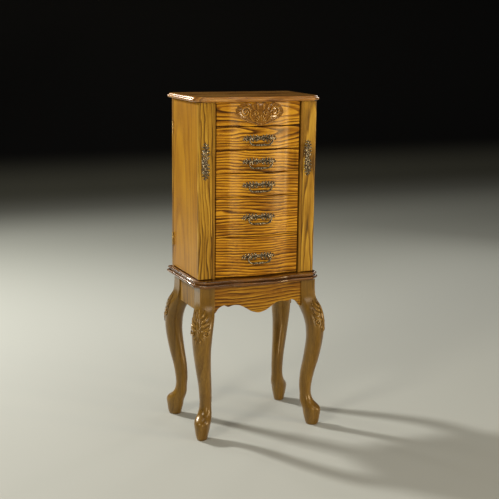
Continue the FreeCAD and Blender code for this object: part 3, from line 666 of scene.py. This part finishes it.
def leg_row(z):
    """The leg's section at a height, by cubic interpolation between the rows."""
    rows = LEG_ROWS
    i = next(k for k in range(len(rows) - 1) if rows[k + 1][0] <= z or k == len(rows) - 2)
    low, high = rows[i + 1], rows[i]
    below = rows[i + 2] if i + 2 < len(rows) else low
    above = rows[i - 1] if i > 0 else high
    span = high[0] - low[0]
    t = (z - low[0]) / span
    values = []
    for k in range(1, 6):
        m_low = (high[k] - below[k]) / max(high[0] - below[0], 1e-6) * span
        m_high = (above[k] - low[k]) / max(above[0] - low[0], 1e-6) * span
        values.append((2 * t ** 3 - 3 * t ** 2 + 1) * low[k] + (t ** 3 - 2 * t ** 2 + t) * m_low
                      + (3 * t ** 2 - 2 * t ** 3) * high[k] + (t ** 3 - t ** 2) * m_high)
    return values


def leg_point(side, end, turn, z):
    """A point of a leg's surface, turn radians round from its outward corner."""
    out_x, out_y, along, across, squareness = leg_row(z)
    c, s = math.cos(turn), math.sin(turn)
    reach = (abs(c) ** squareness + abs(s) ** squareness) ** (-1 / squareness)
    diagonal, sideways = along * c * reach, across * s * reach
    x = KNEE[0] + out_x + (diagonal - sideways) / 2 ** 0.5
    y = KNEE[1] + out_y + (diagonal + sideways) / 2 ** 0.5
    if z > POST_FOOT:
        x, y = max(x, POST_CORNER[0]), max(y, POST_CORNER[1])
    return Vector((side * x, end * y, z))


def build_leg(name, side, end):
    """A cabriole leg whose post flows into a leaf-carved knee, down to a club foot."""
    levels = [0, 1, 2, 4, 7] + [10 + 4 * i for i in range(110)] + [453]
    around = turns(72)
    hand = side * end
    rings = [[leg_point(side, end, hand * turn, z) * MM for turn in around] for z in levels]
    piece = new_piece("cabriole_" + name, Shape().loft(rings), LEG_OAK, "case")
    crease(piece, 50)
    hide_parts("leg_" + name)

    def surface(u, v):
        return leg_point(side, end, hand * u / KNEE_RADIUS, v + LEAF_LIFT)

    parts = Shape()
    stroke(parts, surface, [(0, 376, 1, 0.6), (0, 364, 3.8, 3.0), (0, 347, 6.0, 4.2),
                            (0, 324, 6.2, 4.6), (0, 302, 4.4, 3.8), (0, 282, 0.6, 0.8)], vein=0.55)
    for mirror in (-1, 1):
        for root, reach, tip, lift, half in ((360, 12, 370, 3.0, 3.6), (349, 19, 361, 3.8, 4.4),
                                             (337, 24, 347, 4.2, 4.6), (324, 26, 331, 4.2, 4.4)):
            stroke(parts, surface, [
                (mirror * 3, root - 9, 1.4, 1.6), (mirror * reach * 0.45, root - 6, half, lift),
                (mirror * reach * 0.8, root, half * 0.95, lift),
                (mirror * reach * 0.97, tip, 1.8, lift * 0.8),
                (mirror * reach * 0.86, tip + 4, 0.5, 0.8)], vein=0.5, step_count=6)
        stroke(parts, surface, spiral(17, 308, 9.5, 0.30, -1.3, 3.0, 4.4, mirror), step_count=4)
        boss(parts, surface, mirror * 17, 308, 2.4, 4.2)
        for root, foot, out in ((303, 288, 12), (296, 277, 6)):
            stroke(parts, surface, [
                (mirror * 3, root, 1.4, 1.6), (mirror * out * 0.8, (root + foot) / 2, 3.2, 3.2),
                (mirror * out, foot + 3, 2.0, 2.4), (mirror * out * 0.8, foot, 0.5, 0.6)],
                vein=0.45)
        for u, v, size in ((9, 315, 2.6), (27, 319, 2.2), (9, 333, 2.0)):
            boss(parts, surface, mirror * u, v, size, 3.2)
    leaf = new_piece("knee_leaf_" + name, parts, KNEE_OAK, "case")
    crease(leaf, 60)


def build_cartouche():
    """The carved spray on the fascia: a shell between two scrolls, with leaves over them."""
    low, stretch, ground, boldness = 917, 1.075, 1.6, 1.35

    def surface(u, v):
        return Vector((u, bowed(u, *FRONT_BOW) - ground, low + (v - low) * stretch))

    def carve(route, **settings):
        stroke(parts, surface, [(u, v, half, rise * boldness) for u, v, half, rise in route],
               **settings)

    parts = Shape()
    # the ground that the carving stands on, with its pointed lower edge
    rim = [(-74, 951), (-62, 938), (-44, 930), (-22, 922), (0, 916.8), (22, 922), (44, 930),
           (62, 938), (74, 951)]
    crown = [(70, 964), (58, 974), (42, 978), (26, 974), (12, 979), (0, 976), (-12, 979),
             (-26, 974), (-42, 978), (-58, 974), (-70, 964)]
    loop = smooth_path(rim + crown + rim[:1], 6)[:-1]
    rings = []
    for share, lift in ((1.0, -1.0), (1.0, 1.4), (0.97, 2.0), (0.5, 2.0), (0.05, 2.0)):
        ring = []
        for u, v in loop:
            u, v = u * share, 948 + (v - 948) * share
            ring.append((surface(u, v) + Vector((0, ground - lift, 0))) * MM)
        rings.append(ring)
    # the ground's relief value paints it partly in shade
    parts.loft(rings, relief=[GROUND_RELIEF] * len(loop))
    for mirror in (-1, 1):
        # the double line of the lower edge
        carve([(mirror * 76, 952, 0.6, 0.6), (mirror * 62, 939, 1.5, 2.2),
                                (mirror * 40, 929.5, 1.6, 2.4), (mirror * 18, 922, 1.6, 2.4),
                                (0, 918.2, 1.4, 2.0)])
        carve([(mirror * 68, 950, 0.5, 0.5), (mirror * 54, 941, 1.1, 1.8),
                                (mirror * 36, 933.5, 1.2, 2.0), (mirror * 20, 927, 1.0, 1.6)])
        # the big scroll, and the leaf that runs out of it to the middle
        carve(spiral(46, 954, 14.5, 0.50, -1.6, 3.4, 4.4, mirror, 16),
               step_count=4)
        boss(parts, surface, mirror * 46, 954, 3.2, 4.6)
        carve([(mirror * 33, 951, 2.6, 3.4), (mirror * 31, 939, 3.2, 3.6),
                                (mirror * 22, 931, 3.0, 3.4), (mirror * 10, 923, 1.0, 1.4)],
               vein=0.4)
        # leaves along the top
        for u, v, du, dv, width in ((8, 957, 3, 21, 3.6), (20, 959, 9, 17, 3.6),
                                    (33, 966, 12, 11, 3.0), (52, 966, 14, 4, 3.0),
                                    (60, 958, 11, -5, 2.6), (60, 946, 8, -3, 2.2)):
            carve([
                (mirror * u, v, width * 0.5, 1.6),
                (mirror * (u + du * 0.4), v + dv * 0.5, width, 3.4),
                (mirror * (u + du * 0.8), v + dv * 0.85, width * 0.8, 3.0),
                (mirror * (u + du), v + dv, 0.5, 0.6)], vein=0.5)
        # small scrolls that face each other over the shell
        carve(spiral(15, 950, 7.5, 0.05, 1.3, 2.4, 3.6, mirror), step_count=4)
        for u, v in ((26, 944), (28, 960), (40, 938), (54, 944)):
            boss(parts, surface, mirror * u, v, 2.0, 3.0)
    # the shell, its ribs fanned up from the point
    for step in range(-4, 5):
        angle = math.radians(step * 15)
        reach = 28 - 0.5 * step * step
        carve([
            (share * reach * math.sin(angle), 919 + share * reach * math.cos(angle), half, rise)
            for share, half, rise in ((0.15, 0.8, 1.8), (0.6, 1.9, 4.2), (0.9, 2.5, 4.8),
                                      (1.0, 1.2, 2.2))])
    boss(parts, surface, 0, 922.5, 3.8, 5.0)
    piece = new_piece("fascia_cartouche", parts, CARVED_OAK, "case")
    crease(piece, 60)
    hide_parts("fascia_carving")


# ---------------------------------------------------------------- handles

def build_handle(plate_name, bail_name, place, body, bail_body, upright, rest):
    """An ornate back plate with two eyes, and the drop bail that hangs in them.

    Local u runs along the plate and v across it; rest turns the bail forward."""
    x0, y0, z0 = place

    def world(u, v, out):
        """out is the distance in front of the surface that the plate is screwed to."""
        if upright:
            return Vector((x0 + v, y0 - out, z0 - u))
        return Vector((x0 + u, y0 - out, z0 + v))

    def surface(u, v):
        if upright:
            return world(u, v, 0.4)
        return Vector((x0 + u, bowed(u, *FRONT_BOW) - 0.4, z0 + v))

    wide = 1.4 if upright else 1.15
    parts = Shape()
    for mirror in (-1, 1):
        stroke(parts, surface, [(0, 0, 4.5, 2.8), (mirror * 12, 1.2, 3.2, 2.4),
                                (mirror * 22, -0.8, 3.2, 2.6), (mirror * 34, 0.8, 3.4, 2.6),
                                (mirror * 45, -0.8, 2.2, 2.0), (mirror * 54, 0.4, 0.5, 0.8)],
               vein=0.35)
        for flip in (-1, 1):
            for u, du, dv, width in ((4, 9, 7.6, 2.7), (14.5, 8, 8.4, 2.8), (24, 8, 7.8, 2.7),
                                     (33.5, 8, 7.0, 2.5), (42.5, 7, 4.8, 2.0)):
                shift = 2.0 if flip < 0 else 0.0
                stroke(parts, surface, [
                    (mirror * (u + shift), flip * 1.0, width * 0.6, 1.8),
                    (mirror * (u + shift + du * 0.55), flip * dv * 0.55 * wide, width, 2.5),
                    (mirror * (u + shift + du * 0.75), flip * dv * 0.9 * wide, width * 0.85, 2.3),
                    (mirror * (u + shift + du * 0.45), flip * dv * 1.04 * wide, 0.4, 0.7)],
                    vein=0.45, step_count=5)
            stroke(parts, surface, spiral(9.5, flip * 4.2 * wide, 3.2, 0.5, -flip * 1.2, 1.0, 2.2,
                                          mirror, 8), step_count=3)
        boss(parts, surface, mirror * 29.75, 0, 5.0, 2.6, petals=8)
    boss(parts, surface, 0, 0, 5.6, 3.4, petals=6)
    boss(parts, surface, 0, 0, 2.2, 4.6)

    # the eyes: a post and a tube along u round the pivot, bored for the bail
    pivot = 9.0
    for mirror in (-1, 1):
        rings = []
        for u, outer in ((27.0, 2.9), (27.6, 3.4), (29.75, 3.6), (31.9, 3.4), (32.5, 2.9),
                         (32.5, 1.68), (29.75, 1.68), (27.0, 1.68), (27.0, 2.9)):
            ring = []
            for turn in turns(20):
                ring.append(world(mirror * u, outer * math.sin(turn),
                                  pivot + outer * math.cos(turn)) * MM)
            rings.append(ring if mirror > 0 else ring[::-1])
        parts.loft(rings, capped=False)
        rings = []
        for out, half in ((1.0, 3.0), (3.0, 2.2), (4.6, 2.0), (6.6, 2.3)):
            ring = []
            for turn in turns(16):
                ring.append(world(mirror * 29.75 + half * 0.95 * math.cos(turn),
                                  half * math.sin(turn), out) * MM)
            rings.append(ring)
        parts.loft(rings)
    plate = new_piece(plate_name + "_cast", parts, BRONZE, body)
    crease(plate, 60)
    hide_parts(plate_name)

    # the bail, thickest in the middle of its drop
    route = [(-26.4, 0, 1.6), (-30, 0, 1.6), (-32.6, 0, 1.6), (-34.2, -0.5, 1.9),
             (-35.5, -1.8, 2.2), (-35.8, -3.6, 2.4), (-35.6, -6.5, 2.2), (-34.8, -9.5, 2.5),
             (-32.6, -13.2, 2.9), (-29.4, -16.2, 3.1), (-25, -18.2, 2.7), (-20.4, -19.0, 2.3),
             (-19.4, -19.1, 3.1), (-18.4, -19.1, 2.4), (-13, -18.8, 2.9), (-8, -18.6, 3.4),
             (-5.2, -18.8, 2.6), (-4.2, -18.9, 3.7), (-3.2, -19.0, 3.0), (0, -19.4, 3.9)]
    route += [(-x, z, r) for x, z, r in reversed(route[:-1])]
    samples = smooth_path(route, 4)
    lean = (math.sin(math.radians(rest)), math.cos(math.radians(rest)))
    rings = []
    for i, (u, v, radius) in enumerate(samples):
        before, after = samples[max(i - 1, 0)], samples[min(i + 1, len(samples) - 1)]
        run, climb = after[0] - before[0], after[1] - before[1]
        length = math.hypot(run, climb)
        normal = (-climb / length, run / length)
        ring = []
        for turn in turns(14):
            off, out = radius * math.cos(turn), radius * math.sin(turn)
            pu, pv = u + normal[0] * off, v + normal[1] * off
            # turn the bail about its pivots: v hangs down, out comes forward
            ring.append(world(pu, pv * lean[1] + out * lean[0],
                              pivot - pv * lean[0] + out * lean[1]) * MM)
        rings.append(ring)
    bail = new_piece(bail_name + "_cast", Shape().loft(rings), BRONZE, bail_body)
    crease(bail, 60)
    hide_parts(bail_name)


# ---------------------------------------------------------------- linings and soft parts

def rounded_ring(x, y, z, radius, per_corner=5):
    """A rectangle with round corners at a height, in metres."""
    (x0, x1), (y0, y1) = x, y
    ring = []
    for cx, cy, start in ((x1 - radius, y1 - radius, 0), (x0 + radius, y1 - radius, 90),
                          (x0 + radius, y0 + radius, 180), (x1 - radius, y0 + radius, 270)):
        for i in range(per_corner):
            turn = math.radians(start + 90 * i / (per_corner - 1))
            ring.append(Vector((cx + radius * math.cos(turn), cy + radius * math.sin(turn),
                                z)) * MM)
    return ring


def liner(name, x, y, floor, top, body, thick=1.2):
    """A velvet lining folded up the walls of a box."""
    (x0, x1), (y0, y1) = x, y
    inner_x, inner_y = (x0 + thick, x1 - thick), (y0 + thick, y1 - thick)
    rings = [rounded_ring(x, y, floor, 1.5), rounded_ring(x, y, top - 0.4, 1.5),
             rounded_ring((x0 + 0.4, x1 - 0.4), (y0 + 0.4, y1 - 0.4), top, 1.3),
             rounded_ring(inner_x, inner_y, top - 0.4, 1.2),
             rounded_ring(inner_x, inner_y, floor + thick + 1.5, 1.2),
             rounded_ring((x0 + thick + 1.2, x1 - thick - 1.2),
                          (y0 + thick + 1.2, y1 - thick - 1.2), floor + thick, 1.2)]
    piece = new_piece(name, Shape().loft(rings), VELVET, body)
    crease(piece, 50)


def build_linings():
    """Velvet in each drawer and in three of the tray wells."""
    for number in range(1, 6):
        low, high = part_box("drawer_box_%d" % number)
        liner("drawer_lining_%d" % number, (-121.4, 121.4), (-71.9, 99.9),
              low.z / MM + 4.05, high.z / MM - 1.5, "drawer_%d" % number)
    for name, x, y in (("front", (-29.9, 49.9), (-72.9, 19.9)),
                       ("back", (-29.9, 49.9), (24.1, 112.9)),
                       ("side", (54.1, 127.9), (-72.9, 112.9))):
        liner("tray_lining_" + name, x, y, 921.6, 973.5, "case")


def build_rolls():
    """Padded velvet rolls that grip rings between them."""
    x0, x1, y0, y1, foot = -127.4, -34.6, -72.4, 112.4, 921.8
    count, per_roll, across = 9, 12, 22
    pitch = (y1 - y0) / count
    dice = random.Random(5)
    sag = [dice.uniform(-0.6, 0.3) for _ in range(count)]
    points, faces = [], []
    columns = count * per_roll + 1
    for i in range(across + 1):
        s = 2 * i / across - 1
        end_drop = 5.5 * max(0.0, abs(s) - 0.82) ** 2 / 0.18 ** 2
        for j in range(columns):
            k = min(j // per_roll, count - 1)
            t = 2 * (j - k * per_roll) / per_roll - 1
            dome = math.sqrt(max(0.0, 1 - t * t))
            z = 942.5 + (16.3 + sag[k] * dome) * dome - end_drop * dome
            points.append(Vector((x0 + (x1 - x0) * i / across, y0 + pitch * j / per_roll, z)) * MM)
    for i in range(across):
        for j in range(columns - 1):
            a = i * columns + j
            faces.append((a, a + columns, a + columns + 1, a + 1))
    rim = ([i * columns for i in range(across + 1)]
           + [across * columns + j for j in range(1, columns)]
           + [i * columns + columns - 1 for i in range(across - 1, -1, -1)]
           + list(range(columns - 2, 0, -1)))
    base = len(points)
    for index in rim:
        points.append(Vector((points[index].x, points[index].y, foot * MM)))
    for k in range(len(rim)):
        n = (k + 1) % len(rim)
        faces.append((rim[n], rim[k], base + k, base + n))
    faces.append(tuple(reversed(range(base, base + len(rim)))))
    pad = Shape()
    pad.points, pad.faces = points, faces
    piece = new_piece("ring_roll_pad", pad, VELVET, "case")
    crease(piece, 70)
    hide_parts("ring_rolls")


def build_pouch(name, side):
    """A gathered velvet pocket at the foot of the door, held by elastic at its rim."""
    near, far = 149.4, 171.9
    y0, y1 = -69.5, 99.5
    rings = []

    def loop(z, inner, fullness, gather):
        ring = []
        count = 160
        for turn in turns(count):
            c, s = math.cos(turn), math.sin(turn)
            reach = (abs(c) ** 8 + abs(s) ** 8) ** (-1 / 8)
            y = (y0 + y1) / 2 + s * reach * ((y1 - y0) / 2 - inner)
            depth = (far - near) / 2 - inner
            x = (far + near) / 2 - c * reach * depth
            if c > 0.05:
                ripple = math.sin(y * 1.15 + 0.6 * math.sin(y * 0.23)) * gather
                x += (1 - fullness) * 5.0 + ripple
                x = max(x, near + inner * 0.6)
            ring.append(Vector((side * x, y, z)) * MM)
        return ring

    for z, fullness, gather in ((487.4, 0.75, 0.2), (489, 0.9, 0.3), (500, 1.0, 0.5),
                                (518, 0.95, 0.8), (532, 0.72, 1.0), (538, 0.5, 1.0),
                                (541, 0.48, 0.9), (544, 0.55, 0.9), (546.4, 0.5, 1.1)):
        rings.append(loop(z, 0.4 if z < 488 else 0.0, fullness, gather))
    for z, fullness, gather in ((546.4, 0.5, 1.1), (541, 0.48, 0.9), (532, 0.72, 1.0),
                                (518, 0.95, 0.8), (492, 1.0, 0.4), (490, 0.95, 0.3)):
        rings.append(loop(z, 1.5, fullness, gather))
    if side < 0:
        rings = [ring[::-1] for ring in rings]
    piece = new_piece("door_pocket_" + name, Shape().loft(rings), VELVET, "door_" + name)
    crease(piece, 70)
    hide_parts("necklace_pouch_" + name)


def build_hooks(name, side):
    """A rail inside the door with six bent brass hooks."""
    parts = Shape()
    rings = []
    for x, inset in ((171.9, 0), (165.2, 0), (164.3, 0.5), (164.0, 1.4)):
        ring = [Vector((side * x, y, z)) * MM for y, z in (
            (-68 + inset, 929 + inset), (98 - inset, 929 + inset), (98 - inset, 943 - inset),
            (-68 + inset, 943 - inset))]
        rings.append(ring if side > 0 else ring[::-1])
    parts.loft([ring[::-1] for ring in rings])
    rail = new_piece("hook_rail_" + name, parts, SIDE_OAK, "door_" + name, smooth=False)
    parts = Shape()
    for step in range(6):
        y = -55 + 28 * step
        route = smooth_path([(164.6, 936, 1.5), (160, 935.8, 1.4), (156, 934.6, 1.4),
                             (153.3, 935.2, 1.4), (152.0, 938, 1.4), (151.9, 941, 1.6),
                             (151.9, 942.6, 1.9), (151.9, 943.8, 0.9)], 4)
        rings = []
        for i, (x, z, radius) in enumerate(route):
            before, after = route[max(i - 1, 0)], route[min(i + 1, len(route) - 1)]
            run, climb = after[0] - before[0], after[1] - before[1]
            length = math.hypot(run, climb)
            ring = []
            for turn in turns(12):
                off = radius * math.cos(turn)
                ring.append(Vector((side * (x - climb / length * off),
                                    y + radius * math.sin(turn),
                                    z + run / length * off)) * MM)
            rings.append(ring if side > 0 else ring[::-1])
        parts.loft(rings)
        boss(parts, lambda u, v, y=y: Vector((side * 164.0, y - side * u, v)), 0, 936, 3.6, 1.0)
    hooks = new_piece("brass_hooks_" + name, parts, BRASS, "door_" + name)
    crease(hooks, 60)
    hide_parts("necklace_hooks_" + name)
    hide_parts("necklace_hooks_" + name)


# ---------------------------------------------------------------- build

LID_OAK = oak("lid_oak", "top", ((0.140, 0.047, 0.009), (0.440, 0.185, 0.032),
                                 (0.680, 0.350, 0.080)), ring=0.012, heart=(0.1, 0.02),
              depth=0.05, contrast=0.5, rough=0.25, coat=0.9)
# carved=True paints shade at the foot of each carved ridge
CARVED_OAK = oak("carved_oak", "x", ((0.130, 0.042, 0.004), (0.460, 0.205, 0.022),
                                     (0.660, 0.340, 0.050)), ring=0.03, depth=0.1, contrast=0.2,
                 rough=0.2, coat=1.0, carved=True)
# carved=True paints shade at the foot of each carved ridge of the knee leaf
KNEE_OAK = oak("knee_oak", "z", ((0.070, 0.028, 0.003), (0.290, 0.150, 0.018),
                                 (0.430, 0.240, 0.036)), ring=0.03, depth=0.1, contrast=0.2,
               rough=0.16, coat=1.0, carved=True)
STRIP_OAK = oak("strip_oak", "z", STRAW, ring=0.0095, heart=(0.52, 0.163), depth=0.015,
                lean=0.05, contrast=0.8, waviness=1.4)
APRON_OAK = oak("apron_oak", "x", RUSSET, ring=0.0080, heart=(-0.05, 0.49), depth=0.040,
                lean=0.06, contrast=0.75)
FRONT_OAKS = [oak("front_oak_%d" % i, "x", HONEY, ring=ring, heart=heart, depth=depth, lean=lean,
                  seed=i * 1.7, contrast=1.0, rough=0.30, coat=0.06)
              for i, (ring, heart, depth, lean) in enumerate((
                  (0.0085, (0.12, 0.955), 0.016, 0.10), (0.0080, (0.10, 0.900), 0.020, 0.10),
                  (0.0078, (-0.2, 0.73), 0.030, 0.08), (0.0078, (-0.3, 0.62), 0.040, 0.08),
                  (0.0078, (0.2, 0.54), 0.050, 0.06), (0.0082, (0.1, 0.42), 0.050, 0.06)))]

for name in ("back_panel", "case_floor", "drawer_shelves", "partition_left", "partition_right",
             "side_top_boards"):
    finish_node(name, CASE_OAK, 0.5)
for side_name in SIDES:
    finish_node("door_panel_" + side_name, SIDE_OAK, 0.6)
    finish_node("door_strip_" + side_name, STRIP_OAK, 0.6)
    finish_node("side_apron_" + side_name, SKIRT_OAK, 0.6)
    finish_node("door_hinge_leaves_" + side_name, BRASS)
finish_node("back_apron", SKIRT_OAK, 0.6)
finish_node("fascia_panel", FRONT_OAKS[0], 0.5)
for number in range(1, 6):
    finish_node("drawer_front_%d" % number, FRONT_OAKS[number], 0.8)
    finish_node("drawer_box_%d" % number, DRAWER_OAK, 0.5)
finish_node("top_tray", DRAWER_OAK, 0.5)
finish_node("hinge_leaves", BRASS)
finish_node("lid_hinge_leaves", BRASS)
finish_node("door_magnets", STEEL, 0.4)
finish_node("corner_blocks", RAW_OAK, 0.6)
finish_node("stand_screws", STEEL, 0.3)
finish_node("lid_mirror", MIRROR, 0.8)

build_stage()
build_moulding()
build_lid()
build_apron()
for end_name, end in (("front", -1), ("back", 1)):
    for side_name, hand in SIDES.items():
        build_leg("%s_%s" % (end_name, side_name), hand, end)
build_cartouche()
for number, height in enumerate((881.5, 815, 747, 653, 536), start=1):
    build_handle("drawer_plate_%d" % number, "drawer_bail_%d" % number, (0, -106, height),
                 "drawer_%d" % number, "handle_bail_%d" % number, False, 0)
for side_name, x in (("left", -163), ("right", 158)):
    build_handle("door_pull_plate_" + side_name, "door_pull_bail_" + side_name, (x, -97, 818.5),
                 "door_" + side_name, "pull_bail_" + side_name, True, 35)
build_linings()
build_rolls()
for side_name, hand in SIDES.items():
    build_pouch(side_name, hand)
    build_hooks(side_name, hand)
